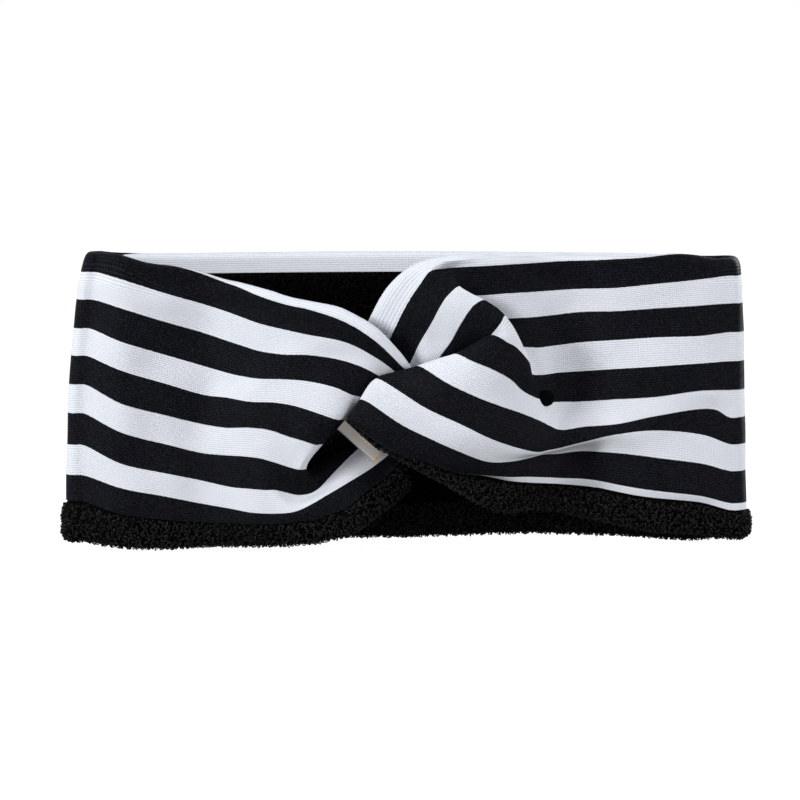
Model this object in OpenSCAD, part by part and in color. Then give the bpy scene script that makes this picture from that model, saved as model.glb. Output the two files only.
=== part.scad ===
// Twist headband: a striped jersey tube lined with terry, standing on its lower edge.
// X runs across the flattened loop, Y from the twisted front (-Y) to the back (+Y), Z up.
// The origin is the centre of the loop on the surface that the lower edge rests on.

/* [Loop] */
// Width of the flattened loop, from side fold to side fold
loop_width = 238; // [226:1:250]
// Height of the band, from lower edge to upper edge
band_height = 103; // [98:1:108]
// How far the front face bows forward of the side folds' centre line
front_bow = 20; // [18:1:23]
// How far the back bows behind the side folds' centre line
back_bow = 25.5; // [22:0.5:30]
// Outer radius of each side fold
fold_radius = 6; // [5.5:0.1:7]

/* [Fabric] */
// Thickness of the striped jersey
jersey_thick = 1; // [0.7:0.1:1.2]
// Thickness of the band, jersey and terry together
band_thick = 4; // [3.5:0.1:4.4]
// Height of the terry that shows on the outside, below the jersey
terry_roll = 10; // [8:0.5:13]
// Depth of the jersey that turns over the upper edge to the inside
top_facing = 8.5; // [6:0.5:12]
// Width of each seam's thread line
seam_width = 1; // [0.7:0.1:1.4]
// How far a seam's thread stands proud of the cloth
seam_proud = 0.2; // [0.1:0.05:0.4]

/* [Twist] */
// Clearance between cloth layers that lie on each other in the twist
layer_gap = 0.3; // [0.2:0.1:0.6]
// Where the right arm splits into the part over the left arm and the part under it
split_x = 30; // [26:1:34]

/* [Label] */
// Length of the folded label along its seam
label_length = 17; // [14:0.5:20]
// How far the folded label stands out of its seam
label_drop = 4.2; // [3.8:0.1:6]
// Thickness of one layer of the label's satin
label_cloth = 0.3; // [0.2:0.05:0.4]
// Outer radius of the label's fold
label_fold = 0.55; // [0.5:0.05:0.7]
// Radius of the line of thread that holds the label
stitch_radius = 0.4; // [0.3:0.05:0.45]
// Slope of the label's seam below the horizontal, in degrees
label_slope = 42; // [38:1:46]

/* [Stud] */
// Diameter of the black tack stud
stud_diameter = 5.7; // [4.5:0.1:7]
// Height of the stud above the cloth
stud_height = 1.6; // [1.2:0.1:2.2]

/* [Hidden] */

jersey_colour = [0.88, 0.89, 0.93];
terry_colour = [0.05, 0.05, 0.055];
thread_colour = [0.12, 0.12, 0.13];
satin_colour = [0.86, 0.83, 0.76];

$fn = 96;
eps = 0.05;
far = 400;

fold_x = loop_width / 2 - fold_radius;
half_seam = seam_width / 2;
roll_top = terry_roll - half_seam;
jersey_foot = terry_roll + half_seam;
facing_foot = band_height - top_facing;
terry_top = facing_foot - seam_width;
over = band_thick + layer_gap;

// Radius of the plan arc that touches both fold circles and bows out by the given amount
function arc_radius(bow) =
    (fold_x * fold_x + bow * bow - fold_radius * fold_radius) / (2 * (bow - fold_radius));

front_radius = arc_radius(front_bow);
back_radius = arc_radius(back_bow);

// Y of the front's outer face at a given x
function front_y(x) = front_radius - front_bow - sqrt(front_radius * front_radius - x * x);

// Stations of an arm: upper end [x, z], lower end [x, z], how far forward of the front
// arc each end lies, and for a station on a side fold its turn round the fold, in degrees
function fold_station(side, turn) =
    [[side * fold_x, band_height], [side * fold_x, 0], 0, 0, turn];

left_arm = concat([for (turn = [180:-30:30]) fold_station(-1, turn)], [
    [[-fold_x, band_height], [-fold_x, 0], 0, 0],
    [[-95, band_height], [-95, 0], 0, 0],
    [[-72, 97], [-75, 0], 0, 0],
    [[-52, 91], [-56, 1], 0, 0],
    [[-32, 87], [-37, 3], 1, 0],
    [[-14, 79], [-20, 6], 1, 0],
    [[-3, 69], [-8, 14], 0, 0],
    [[6, 60], [4, 22], 0, 0]
]);
right_arm = concat([
    [[split_x, band_height], [split_x + 2, 14], 0, 0],
    [[50, band_height], [50, 13], 0, 0],
    [[72, band_height], [72, 9], 0, 0],
    [[95, band_height], [95, 6], 0, 0],
    [[fold_x, band_height], [fold_x, 0], 0, 0]
], [for (turn = [30:30:180]) fold_station(1, turn)]);

// Where the right arm parts round the left one: from the split towards each tip
right_under = [
    [[10, 101], [20, 66], -over, -over],
    [[-4, 92], [5, 57], -over, -over],
    [[-13, 80], [-6, 54], -over, -over]
];
right_over = [
    [[20, 71], [20, 20], over, over],
    [[5, 66], [9, 27], over, over],
    [[-8, 60], [-8, 35], over, over],
    [[-16, 53], [-20, 45], over, over]
];

// A place across a station is a share of its length from the top, plus millimetres
function share(station, place) = place[0] + place[1] / norm(station[1] - station[0]);

function mix(a, b, t) = a + t * (b - a);

function on_arc(p, ahead, inset) = [p[0], front_y(p[0]) - ahead + inset, p[1]];

function on_fold(p, turn, inset) =
    [p[0] + sign(p[0]) * (fold_radius - inset) * sin(turn), -(fold_radius - inset) * cos(turn), p[1]];

function cloth_point(station, place, inset) =
    let (t = share(station, place), p = mix(station[0], station[1], t))
    station[4] == undef ? on_arc(p, mix(station[2], station[3], t), inset)
                        : on_fold(p, station[4], inset);

// Quads between neighbouring stations, a on the left of b, for rows first to last
function quads_between(a, b, first, last, wide) = first >= last ? [] : [
    for (j = [first:last - 1]) [a * wide + j, b * wide + j, b * wide + j + 1, a * wide + j + 1]
];

// A row of a cloth: its place on the arm, on the part that goes under and on the part
// that goes over, then the insets of its outer and inner faces
row_outer = 3;
row_inner = 4;

// A closed sheet through an arm's stations, which may part in two at one of its rows
module cloth(arm, rows, split = 0, under = [], over = []) {
    wide = len(rows);
    total = (len(arm) + len(under) + len(over)) * wide;
    points = [
        for (face = [row_outer, row_inner]) each concat(
            [for (s = arm) for (row = rows) cloth_point(s, row[0], row[face])],
            [for (s = under) for (row = rows) cloth_point(s, row[1], row[face])],
            [for (s = over) for (row = rows) cloth_point(s, row[2], row[face])])
    ];
    first_over = len(arm) + len(under);
    quads = concat(
        [for (i = [1:len(arm) - 1]) each quads_between(i - 1, i, 0, wide - 1, wide)],
        len(under) == 0 ? [] : [for (i = [0:len(under) - 1]) each
            quads_between(len(arm) + i, i == 0 ? 0 : len(arm) + i - 1, 0, split, wide)],
        len(over) == 0 ? [] : [for (i = [0:len(over) - 1]) each
            quads_between(first_over + i, i == 0 ? 0 : first_over + i - 1, split, wide - 1, wide)]
    );
    edges = [for (q = quads) for (k = [0:3]) [q[k], q[(k + 1) % 4]]];
    rim = [for (e = edges) if (len([for (f = edges) if (f[0] == e[1] && f[1] == e[0]) 1]) == 0) e];
    polyhedron(points, concat(
        [for (q = quads) each [[q[0], q[1], q[2]], [q[0], q[2], q[3]]]],
        [for (q = quads) each [[q[2] + total, q[1] + total, q[0] + total],
                               [q[3] + total, q[2] + total, q[0] + total]]],
        [for (e = rim) each [[e[1], e[0], e[0] + total], [e[1], e[0] + total, e[1] + total]]]));
}

// Places on an arm: its edges, its seams, and where it parts in two
top = [0, 0];
middle = [0.65, 0];
parting = [0.31, 0];
foot = [1, 0];
facing_end = [0, top_facing];
lining_start = [0, top_facing + seam_width];
roll_start = [1, -roll_top];
jersey_end = [1, -jersey_foot];

// Shifts a place down by a small step, where a sheet's thickness changes
step = 0.1;
function past(place, by) = [place[0], place[1] + by];

jersey_rows = [
    [top, top, top, 0, band_thick],
    [facing_end, facing_end, top, 0, band_thick],
    [past(facing_end, step), past(facing_end, step), top, 0, jersey_thick],
    [parting, foot, top, 0, jersey_thick],
    [middle, foot, [0.5, 0], 0, jersey_thick],
    [jersey_end, foot, jersey_end, 0, jersey_thick]
];
jersey_split = 3;

lining_face = jersey_thick + eps;
terry_rows = [
    [lining_start, lining_start, top, lining_face, band_thick],
    [parting, foot, top, lining_face, band_thick],
    [middle, foot, [0.5, 0], lining_face, band_thick],
    [past(roll_start, -step), foot, past(roll_start, -step), lining_face, band_thick],
    [roll_start, foot, roll_start, 0, band_thick],
    [foot, foot, foot, 0, band_thick]
];
terry_split = 1;

lower_thread_rows = [
    [past(jersey_end, eps), foot, past(jersey_end, eps), -seam_proud, jersey_thick],
    [past(roll_start, -step - eps), foot, past(roll_start, -step - eps), -seam_proud, jersey_thick]
];
inner_seam_face = band_thick - jersey_thick;
upper_thread_rows = [
    [past(facing_end, step + eps), past(facing_end, step + eps), top,
     inner_seam_face, band_thick + seam_proud],
    [past(lining_start, -eps), past(lining_start, -eps), top,
     inner_seam_face, band_thick + seam_proud]
];

// Plan of the whole loop, drawn in by inset from its outer face
module loop_plan(inset) {
    touch_x = fold_x * front_radius / (front_radius - fold_radius);
    intersection() {
        translate([0, front_radius - front_bow]) circle(r = front_radius - inset, $fn = 720);
        translate([0, back_bow - back_radius]) circle(r = back_radius - inset, $fn = 720);
        square([2 * touch_x, far], center = true);
    }
    for (side = [-1, 1]) translate([side * fold_x, 0]) circle(r = fold_radius - inset);
}

// A wall that follows the loop's plan, from one inset to another and between two heights
module wall(inset, depth, low, high) {
    translate([0, 0, low]) linear_extrude(high - low) difference() {
        loop_plan(inset);
        loop_plan(inset + depth);
    }
}

// What lies behind, from the centre-back seam to just short of the side fold
module back_zone(side) {
    reach = fold_x - half_seam - layer_gap;
    translate([side * (half_seam + reach / 2), far / 2, band_height / 2])
        cube([reach, far, far], center = true);
}

module jersey_wall() {
    wall(0, jersey_thick, jersey_foot, band_height);
    wall(jersey_thick - eps, band_thick - jersey_thick + eps, facing_foot, band_height);
}

module terry_wall() {
    wall(jersey_thick + eps, band_thick - jersey_thick - eps, 0, terry_top);
    wall(0, jersey_thick + 2 * eps, 0, roll_top);
}

module lower_thread_wall() {
    wall(-seam_proud, jersey_thick, roll_top + eps, jersey_foot - eps);
}

module upper_thread_wall() {
    wall(band_thick - jersey_thick + seam_proud, jersey_thick, terry_top + eps, facing_foot - eps);
}

module jersey_left_arm() color(jersey_colour) cloth(left_arm, jersey_rows);

module jersey_right_arm() color(jersey_colour)
    cloth(right_arm, jersey_rows, jersey_split, right_under, right_over);

module terry_left_arm() color(terry_colour) cloth(left_arm, terry_rows);

module terry_right_arm() color(terry_colour)
    cloth(right_arm, terry_rows, terry_split, right_under, right_over);

module lower_seam_left_arm() color(thread_colour) cloth(left_arm, lower_thread_rows);

module lower_seam_right_arm() color(thread_colour)
    cloth(right_arm, lower_thread_rows, 0, [], right_over);

module upper_seam_left_arm() color(thread_colour) cloth(left_arm, upper_thread_rows);

module upper_seam_right_arm() color(thread_colour)
    cloth(right_arm, upper_thread_rows, len(upper_thread_rows) - 1, right_under, []);

module jersey_back(side) color(jersey_colour) {
    intersection() { jersey_wall(); back_zone(side); }
}

module terry_back(side) color(terry_colour) {
    intersection() { terry_wall(); back_zone(side); }
}

module lower_seam_back() color(thread_colour) {
    for (side = [-1, 1]) intersection() { lower_thread_wall(); back_zone(side); }
}

module upper_seam_back() color(thread_colour) {
    for (side = [-1, 1]) intersection() { upper_thread_wall(); back_zone(side); }
}

module centre_back_seam() color(thread_colour) {
    intersection() {
        wall(-seam_proud, band_thick + 2 * seam_proud, half_seam, band_height - half_seam);
        translate([0, far / 2, band_height / 2])
            cube([seam_width - 2 * eps, far, far], center = true);
    }
}

// The label's own frame: x along its seam, y from front to back, z up into the seam
module in_label_frame() {
    seam_middle = [-14.6, 41.7];
    ahead = over + layer_gap + label_fold;
    translate([seam_middle[0], front_y(seam_middle[0]) - ahead, seam_middle[1]])
        rotate([0, label_slope, 0]) children();
}

// A loop of satin ribbon, folded at its free edge, that starts just below its stitching
module label() color(satin_colour) {
    fold_z = label_fold - label_drop;
    root_z = -stitch_radius - eps;
    in_label_frame() rotate([90, 0, 90])
        linear_extrude(label_length, center = true) difference() {
            union() {
                translate([-label_fold, fold_z]) square([2 * label_fold, root_z - fold_z]);
                translate([0, fold_z]) circle(r = label_fold);
            }
            translate([label_cloth - label_fold, fold_z])
                square([2 * (label_fold - label_cloth), label_drop]);
            translate([0, fold_z]) circle(r = label_fold - label_cloth);
        }
}

// The line of thread in the lower seam that the label swings on
module label_stitching() color(thread_colour) {
    in_label_frame() rotate([0, 90, 0])
        cylinder(r = stitch_radius, h = label_length + seam_width, center = true);
}

// A low domed cap, square to the front face where it sits
module tack_stud() color("black") {
    stud_x = 49;
    stud_z = 52.5;
    lean = asin(stud_x / front_radius);
    cap_radius = (pow(stud_diameter / 2, 2) + pow(stud_height, 2)) / (2 * stud_height);
    translate([stud_x, front_y(stud_x) - eps, stud_z]) rotate([90, 0, lean])
        intersection() {
            translate([0, 0, stud_height - cap_radius]) sphere(r = cap_radius);
            cylinder(d = stud_diameter, h = stud_height + 1);
        }
}

jersey_left_arm();
jersey_right_arm();
jersey_back(-1);  // jersey_back_left
jersey_back(1);  // jersey_back_right
terry_left_arm();
terry_right_arm();
terry_back(-1);  // terry_back_left
terry_back(1);  // terry_back_right
lower_seam_left_arm();
lower_seam_right_arm();
lower_seam_back();
upper_seam_left_arm();
upper_seam_right_arm();
upper_seam_back();
centre_back_seam();
label();
label_stitching();
tack_stud();
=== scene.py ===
"""A twist spa headband: striped jersey outside, black terry lining, standing on its lower edge.

Lengths in this script are millimetres until mesh_from() turns them into metres. X runs across the
loop, -Y is the front with the twist, Z is up, as in the CAD frame.
"""
import math
import bpy
import numpy as np
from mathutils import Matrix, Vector


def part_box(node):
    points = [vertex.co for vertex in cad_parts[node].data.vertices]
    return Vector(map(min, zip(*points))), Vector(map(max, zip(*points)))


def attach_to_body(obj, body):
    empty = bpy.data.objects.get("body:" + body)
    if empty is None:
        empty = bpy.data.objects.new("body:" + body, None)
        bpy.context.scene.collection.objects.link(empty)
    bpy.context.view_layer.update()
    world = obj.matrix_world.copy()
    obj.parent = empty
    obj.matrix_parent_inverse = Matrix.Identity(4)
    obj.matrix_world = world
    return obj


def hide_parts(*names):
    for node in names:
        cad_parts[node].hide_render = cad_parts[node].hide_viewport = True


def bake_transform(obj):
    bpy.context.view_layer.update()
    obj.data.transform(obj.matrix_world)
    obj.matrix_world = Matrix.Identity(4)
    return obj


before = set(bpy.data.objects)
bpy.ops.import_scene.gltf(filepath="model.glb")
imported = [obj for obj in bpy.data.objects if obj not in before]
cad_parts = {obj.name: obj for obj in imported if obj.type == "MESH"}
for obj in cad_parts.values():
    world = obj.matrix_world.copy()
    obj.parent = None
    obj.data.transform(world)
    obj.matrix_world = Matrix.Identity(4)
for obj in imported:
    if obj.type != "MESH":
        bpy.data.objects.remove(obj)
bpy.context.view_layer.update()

MM = 0.001

# ---------------------------------------------------------------- sizes, from the CAD frame


def node_box(name):
    """A CAD node's lowest and highest corners in millimetres."""
    low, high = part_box(name)
    return np.array(low) / MM, np.array(high) / MM


BAND_TOP = node_box("jersey_back_left")[1][2]
BACK_BOW = node_box("jersey_back_left")[1][1]
HALF_WIDTH = node_box("jersey_right_arm")[1][0]
FOLD_RADIUS = node_box("terry_right_arm")[1][1]
FOLD_X = HALF_WIDTH - FOLD_RADIUS
FRONT_BOW = 20.0

# Cloth facts
STRIPE = 10.0
SEAM_ACROSS_TOP = -20.0
JERSEY_THICK = 0.8
TERRY_THICK = 1.2


def arc_radius(bow):
    """Radius of the plan arc that touches both side folds and bows out by this much."""
    return (FOLD_X**2 + bow**2 - FOLD_RADIUS**2) / (2 * (bow - FOLD_RADIUS))


FRONT_RADIUS = arc_radius(FRONT_BOW)
BACK_RADIUS = arc_radius(BACK_BOW)


def front_y(x):
    return FRONT_RADIUS - FRONT_BOW - np.sqrt(FRONT_RADIUS**2 - np.square(x))


def back_y(x):
    return BACK_BOW - BACK_RADIUS + np.sqrt(BACK_RADIUS**2 - np.square(x))


# ---------------------------------------------------------------- the arms' control lines
# Each line follows one stripe edge of the cloth from the side fold to the twist. Its points are
# (x, z, forward): forward is how far the cloth lies in front of the loop's plain front arc.
# The key is the place across the cloth, counted down from the upper edge of the first white stripe.

LEFT_LINES = {
    -10: [None, None, None, (-70, 96.5, 0.5), (-60, 93, 1), (-51, 89.5, 1.5), (-42, 86.8, 2),
          (-33, 85, 3), (-21, 81, 4.5), (-11, 74.8, 5), (-2.5, 66.6, 3.5), (1.2, 62.7, 0),
          (4.5, 58, -3.5), (6, 54, -6)],
    0: [(-113, 97, 0), (-99, 95, 2.5), (-83.5, 90, 1.5), (-70, 86, 0.5), (-60, 83, 1),
        (-51, 80, 1.5), (-42, 78, 2), (-34, 76.5, 3), (-21, 74, 4), (-11, 69, 4),
        (-3.5, 63.5, 1.5), (-0.5, 60, -1.5), (2, 56, -4), (4, 53, -6)],
    10: [(-113, 87.5, 0), (-99, 85, 2.8), (-83.5, 80, 0.2), (-70, 76, -0.8), (-60, 73, 0.6),
         (-51, 70.5, 2), (-42, 69.5, 2.5), (-34, 69.5, 3), (-23, 68, 3.5), (-14, 65, 3.5),
         (-9, 62, 2), (-5, 58.5, -1), (-3, 54, -4), (-1, 50, -6)],
    20: [(-113, 77.5, 0), (-99, 73.5, 3), (-83.5, 68.5, -0.7), (-70, 64.5, -1.2), (-60, 62, 1),
         (-51, 61, 3), (-42, 61, 3), (-34, 60.5, 3.5), (-24.5, 58.5, 4), (-19, 56, 3),
         (-15, 54.5, 0), (-15, 51, -4), (-16, 48, -6), (-15, 45, -7)],
    30: [(-113, 68, 0), (-99, 63.5, 3.2), (-83.5, 58.5, -1.2), (-70, 54.5, -1), (-62.5, 54, 1.6),
         (-54, 53, 3.5), (-45.5, 53, 4), (-38.5, 52, 4), (-30, 49.5, 4.5), (-24, 47.5, 3.5),
         (-21, 47, 0), (-20.5, 46, -4), (-19.5, 46, -7), (-17, 45, -8)],
    40: [(-113, 58, 0), (-99, 52, 3.2), (-83.5, 47.5, -1.2), (-71.5, 44.5, -1), (-62.5, 43.5, 2),
         (-55.5, 44, 4), (-47.5, 43.5, 4), (-41, 41.5, 3.5), (-35.5, 40, 4), (-31, 38.5, 3.5),
         (-28.5, 38.3, 0), (-30.8, 36.5, -4), (-32.8, 34.5, -7), (-33.3, 33, -10)],
    50: [(-113, 48, 0), (-99, 42, 3), (-83.5, 37.5, -0.6), (-71.5, 34.5, -0.3), (-63.5, 34, 2.2),
         (-55.5, 34, 4), (-50, 33.5, 3.5), (-44.5, 32, 2.5), (-40, 30.5, 2.5), (-36.5, 29.8, 3),
         (-34.3, 29.8, 0), (-35.2, 29.3, -4), (-36, 28.5, -7), (-36, 27.5, -10)],
    60: [(-113, 37, 0), (-99, 31, 2.5), (-83.5, 27.5, 1), (-71.5, 25, 1), (-61, 23, 2),
         (-53.5, 22.8, 3), (-48.8, 22.6, 3.4), (-45.3, 22.6, 2.4), (-41.5, 21.6, 0), (-37, 20.6, -2),
         (-31.8, 21.8, -4), (-25, 28.3, -6), (-18.5, 34.8, -8), (-9.5, 42.5, -10)],
    70: [(-113, 26.5, 0), (-99, 22.5, 2.5), (-83.5, 19.5, 1.5), (-71.5, 17, 1.5), (-61, 15.5, 2),
         (-52.5, 14.5, 3), (-45.5, 14.5, 3), (-40, 15, 2.5), (-36.5, 16, 1.5), (-31.5, 18.5, 0.5),
         (-26.5, 21.5, -1), (-19.5, 25.5, -3), (-12.5, 29.5, -6), (-5, 35, -9)],
    79: [(-113, 17.5, 0), (-99, 13.5, 2), (-83.5, 11.5, 1.5), (-71.5, 10.5, 1.5), (-61, 10.5, 2),
         (-52.5, 10.5, 2.5), (-43.5, 11, 2.5), (-37, 12, 2), (-31.5, 12.5, 1), (-26.5, 14.5, 0),
         (-21, 16.5, -1), (-14.5, 21.5, -3), (-7.5, 26.5, -5), (-1.5, 32.5, -8)],
}
# The upper edge of an arm: (x, z, forward, place across the cloth)
LEFT_TOP = [(-113, 104, 0, -6), (-99, 103.6, 2, -6.5), (-83.5, 99.5, 1.5, -10),
            (-70, 97, 0.5, -11), (-60, 94.5, 1, -12), (-51, 92, 1.5, -13), (-42, 90, 2, -14),
            (-33, 88, 3, -14), (-21, 85, 4.5, -14), (-11, 79.5, 5, -15), (-3, 71.5, 4, -16),
            (1.5, 66, 1, -16), (5, 61, -3, -16), (8, 57, -6, -16)]
# The lower edge of the terry below it: (x, z, forward)
LEFT_FOOT = [(-113, 3.5, 0), (-99, 2, 2), (-83.5, 1.5, 1.5), (-71.5, 2, 1.5), (-61, 2.5, 2),
             (-52.5, 3, 2.5), (-43.5, 3.5, 2.5), (-37, 4, 2), (-31.5, 4.5, 1), (-26, 5.5, 0),
             (-19, 7.5, -1), (-11, 13, -3), (-4.5, 17.5, -5), (1.5, 23, -8)]

RIGHT_LINES = {
    -10: [None, None, (86, 103, 1.5), (72, 102, 0.5), (60, 101.2, 0), (50, 101, -0.5),
          (39, 100.6, -1), (26, 100, -1.2), (12.5, 99.2, -0.3), (7.8, 98.2, 2.5),
          (3.8, 93, 2.2), (-1, 84.5, 0.5), (-5.5, 75.5, -1.5), (-8, 70, -4)],
    0: [(113, 96, 0), (101.5, 95, 2), (86, 93.5, 1.5), (72, 92, 0.5), (60, 91.5, 0),
        (50, 91, -0.5), (35.5, 90.5, -1.5), (20, 90, -3), (18, 93.5, 3), (13.5, 89.5, 3.5),
        (8.5, 80.5, 2), (4.5, 73.5, 0), (1.5, 67, -2), (-1, 62, -4)],
    10: [(113, 86.5, 0), (101.5, 86, 2), (86, 85, 1), (72, 84, 0), (60, 83.5, -0.5),
         (50, 82.5, -1), (40.5, 82, -1.5), (29.5, 82.5, -3), (27, 89, 4.5), (23, 87, 5),
         (18.5, 80.5, 3.5), (15, 74, 1.5), (11.5, 69, 0), (9, 64, -2)],
    20: [(113, 76.5, 0), (101.5, 75.5, 2), (86, 75, 1), (72, 74, 0), (60, 73, -0.5),
         (51.5, 72, -1), (44, 71.5, -1.5), (35.5, 73.5, -2.5), (34, 83.5, 5), (32, 80.5, 6),
         (29.5, 77.5, 5), (27.5, 74.5, 3), (25.5, 71, 1), (22.5, 67, -1)],
    30: [(113, 66.5, 0), (101.5, 66, 2), (86, 65, 1), (72, 64, 0), (60, 63, -0.5),
         (52, 62.5, -1), (47.5, 62, -1), (43.5, 62.5, -1), (41.5, 67.5, 4.5), (37.5, 72.5, 6.5),
         (34, 74.5, 7), (31.5, 76, 7), (29, 76.5, 5), (27, 74, 2)],
    40: [(113, 56.5, 0), (101.5, 56.5, 2), (86, 54.5, 1.5), (72, 53.5, 0.5), (60, 52.5, 0),
         (53.5, 52.5, 0), (50, 52.5, 0), (46, 53.5, 0.5), (40, 57, 4), (35.5, 61.5, 6.5),
         (29.5, 65, 7.5), (22.5, 68, 7.5), (16.5, 70.5, 5), (14, 68.5, 2)],
    50: [(113, 47, 0), (106, 50, 2), (86, 48, 2.5), (72, 45, 2), (61.5, 44, 2.5),
         (53, 43, 3), (49.5, 44.5, 3.5), (46, 46.5, 4), (37.5, 50.5, 6), (32, 52.5, 7),
         (23.5, 56, 8), (14, 60.5, 8), (4, 66, 5), (1.5, 64, 2)],
    60: [(113, 37.7, 0), (103, 41, 2), (86, 43, 2.5), (72, 41.5, 3), (61.5, 39, 4),
         (53, 37, 5), (48.5, 36.5, 5.5), (45, 36, 6), (37.5, 38, 7), (28.5, 41.5, 8),
         (18.5, 46.5, 8.5), (6.5, 52, 8), (-10, 61.5, 5), (-12, 59.5, 2)],
    70: [(113, 28.4, 0), (103, 31, 2), (86, 33.5, 1.5), (72, 35, 0), (61.5, 35, -1),
         (53, 34.5, -1.5), (47.5, 34.5, -1), (42.5, 33.5, 1), (35, 33, 4), (27, 33.5, 6),
         (15, 38.5, 7.5), (1, 44.5, 7.5), (-15.5, 54.5, 5), (-17, 52, 2)],
    80: [(113, 17.2, 0), (101.5, 20, 2), (86, 22, 1.5), (72, 24, 0), (61.5, 25.5, -1),
         (53, 26, -1), (47.5, 26.5, -0.5), (42, 27, 0), (34, 27.5, 1.5), (24.5, 28.3, 2.6),
         (13.5, 30.6, 3.8), (-2.5, 35.6, 4.5), (-21, 46, 2.5), (-22, 44, 0)],
    83.5: [(113, 14.8, 0), (101.5, 17.8, 1.5), (86, 19.5, 1), (72, 21.5, -0.5), (61.5, 23, -1.5),
           (53, 24, -1.5), (47.5, 24.5, -1), (42, 25, -0.5), (34, 26.2, 0.5), (24.5, 28, 0.4),
           (13.5, 31.5, 1), (-2.5, 36.8, 1.5), (-21, 47.5, -0.5), (-22, 45, -2)],
}
RIGHT_TOP = [(113, 102.5, 0, -6.5), (101.5, 103.5, 2, -10), (86, 103.5, 1.5, -11),
             (72, 103, 0.5, -12), (60, 103, 0, -12.5), (50, 103, -0.5, -13), (39, 103.5, -1, -13.5),
             (30, 103.5, -1, -14), (20, 104, 0, -15), (11, 103.5, 1, -15.5), (2, 100, 1, -16),
             (-5.5, 93.5, 0, -16.5), (-12.5, 83, -2, -17), (-15, 78, -4, -17)]
RIGHT_FOOT = [(113, 5, 0), (101.5, 7, 2), (86, 8, 1.5), (72, 10.5, 0), (61.5, 12.5, -1),
              (53, 14.5, -1), (47.5, 15.5, -0.5), (42, 16, 0), (35, 15, 1), (27, 17.5, 2),
              (15, 24.5, 3.5), (-2, 33.5, 4), (-20, 43, 2.5), (-22, 42.5, 0)]

# ---------------------------------------------------------------- curves and surfaces


def centripetal_knots(points):
    """Knot values along a polyline, spaced by the square root of each chord."""
    steps = np.sqrt(np.linalg.norm(np.diff(points, axis=0), axis=1))
    return np.concatenate([[0], np.cumsum(np.maximum(steps, 1e-3))])


def hermite(knots, values, at):
    """Smooth curve through values at increasing knots, sampled at the given places."""
    knots = np.asarray(knots, float)
    values = np.asarray(values, float)
    gaps = np.diff(knots)
    slopes = np.diff(values, axis=0) / gaps[:, None]
    weight = (gaps[:-1] / (gaps[:-1] + gaps[1:]))[:, None]
    inner = (1 - weight) * slopes[:-1] + weight * slopes[1:]
    tangents = np.concatenate([slopes[:1], inner, slopes[-1:]])
    index = np.clip(np.searchsorted(knots, at, side="right") - 1, 0, len(knots) - 2)
    span = gaps[index][:, None]
    t = ((at - knots[index]) / gaps[index])[:, None]
    a, b = values[index], values[index + 1]
    from_a = (2 * t**3 - 3 * t**2 + 1) * a + (t**3 - 2 * t**2 + t) * tangents[index] * span
    from_b = (3 * t**2 - 2 * t**3) * b + (t**3 - t**2) * tangents[index + 1] * span
    return from_a + from_b


def along_stations(points, per_span):
    """A smooth curve through points with the same number of samples in every span."""
    knots = centripetal_knots(points)
    spans = [np.linspace(a, b, per_span, endpoint=False) for a, b in zip(knots[:-1], knots[1:])]
    return hermite(knots, points, np.concatenate(spans + [knots[-1:]]))


def through_rows(places, rows, at):
    """Surface through rows (row, station, 3), sampled at places across the cloth."""
    count = rows.shape[1]
    flat = rows.reshape(len(places), count * 3)
    return hermite(places, flat, at).reshape(len(at), count, 3)


def unit(vectors):
    return vectors / np.maximum(np.linalg.norm(vectors, axis=-1, keepdims=True), 1e-9)


def normals_of(grid):
    """Unit normals of a grid of points."""
    return unit(np.cross(np.gradient(grid, axis=1), np.gradient(grid, axis=0)))


def arc_lengths(grid):
    """Distance along each row of a grid."""
    steps = np.linalg.norm(np.diff(grid, axis=1), axis=2)
    return np.concatenate([np.zeros((grid.shape[0], 1)), np.cumsum(steps, axis=1)], axis=1)


# ---------------------------------------------------------------- the arms


FOLD_HEIGHTS = (0, 25, 50, 70, 90, 98, 103)
FOLD_CENTRES = {
    -1: (113.0, 112.5, 112.0, 110.6, 108.5, 107.2, 105.7),
    1: (112.6, 112.2, 111.7, 111.3, 110.8, 110.3, 109.5),
}


def fold_centre_x(side, z):
    """X of a side fold's centre line, which leans outwards towards the lower edge."""
    return side * np.interp(z, FOLD_HEIGHTS, FOLD_CENTRES[side])


FOLD_TURNS = (180, 150, 120, 90, 60, 30)
FOLD_SHARPNESS = 0.75
# How much further forward the cloth's front reaches at each side fold than at its back
FOLD_PUFF = {-1: 0.0, 1: 5.0}


def fold_points(side, z, forward):
    """Points round a side fold at one height, from its back to its front."""
    centre = fold_centre_x(side, z)
    turns = np.radians(FOLD_TURNS)
    radius = FOLD_RADIUS + forward
    x = centre + side * radius * np.sin(turns) ** FOLD_SHARPNESS
    depth = radius + FOLD_PUFF[side] * (turns < math.pi / 2)
    return list(zip(x, -depth * np.cos(turns), [z] * len(turns)))


# The knot swells what already stands forward
KNOT_SWELL = 0.6
KNOT_X = 15
KNOT_REACH = 38
# The right arm is lifted between these places by the arm that passes under it
RISE = 3.5
RISE_LEFT, RISE_FADE_LEFT = -3, 22
RISE_RIGHT, RISE_FADE_RIGHT = 64, 28
RISE_EVENS_OUT = 12
# Shallow rolls and hollows that run up each arm: (x, width, height)
ROLLS = {
    -1: ((-108, 8, 0.5), (-69, 17, -6.6), (-24, 17, 1.8)),
    1: ((54, 15, -6.6), (96, 16, 3.6)),
}


def ease(value):
    t = min(max(value, 0.0), 1.0)
    return t * t * (3 - 2 * t)


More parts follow.
